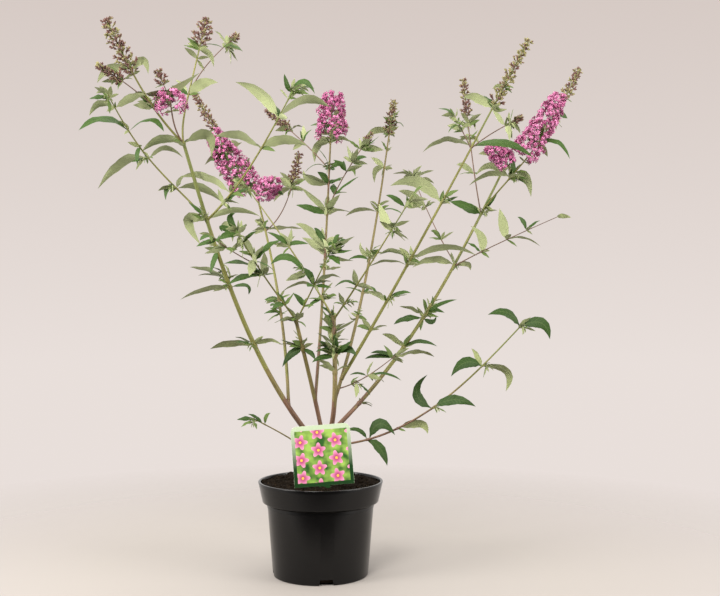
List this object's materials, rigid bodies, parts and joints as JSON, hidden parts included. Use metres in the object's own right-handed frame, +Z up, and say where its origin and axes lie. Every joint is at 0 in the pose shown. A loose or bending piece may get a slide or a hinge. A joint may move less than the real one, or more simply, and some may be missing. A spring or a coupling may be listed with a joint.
{
  "type": "potted butterfly bush",
  "caption": "Young butterfly bush in a round black nursery pot: arching canes, paired lance-shaped leaves, pink flower cones, bud spikes and a plain picture label.",
  "frame": {"origin": "centre of the pot's flat underside", "axes": "+Z up, the bush faces -Y as its label does, +X to its viewer's right"},
  "size_m": [0.7239, 0.4187, 0.8286],
  "materials": {
    "pot": "satin black moulded plastic with soft vertical highlights",
    "soil": "dark crumbly compost",
    "label": null,
    "bark": "brown flaking bark",
    "cane": "smooth olive to brown young bark",
    "foliage": "leaves dark green above and grey-green felted below, pink florets and brown-purple buds"
  },
  "bodies": {
    "root": {"pot": "pot", "soil": "soil", "label": "label", "trunk": "bark", "bough_west": "cane", "bough_west_inner": "cane", "bough_centre": "cane", "bough_centre_back": "cane", "bough_middle": "cane", "bough_back_east": "cane", "bough_tall_east": "cane", "bough_east": "cane", "bough_low_east": "cane", "bough_low_west": "cane", "foliage_west": "foliage", "foliage_west_inner": "foliage", "foliage_centre": "foliage", "foliage_centre_back": "foliage", "foliage_middle": "foliage", "foliage_back_east": "foliage", "foliage_tall_east": "foliage", "foliage_east": "foliage", "foliage_low_east": "foliage", "foliage_low_west": "foliage", "foliage_low_shoot": "foliage"}
  },
  "joints": []
}
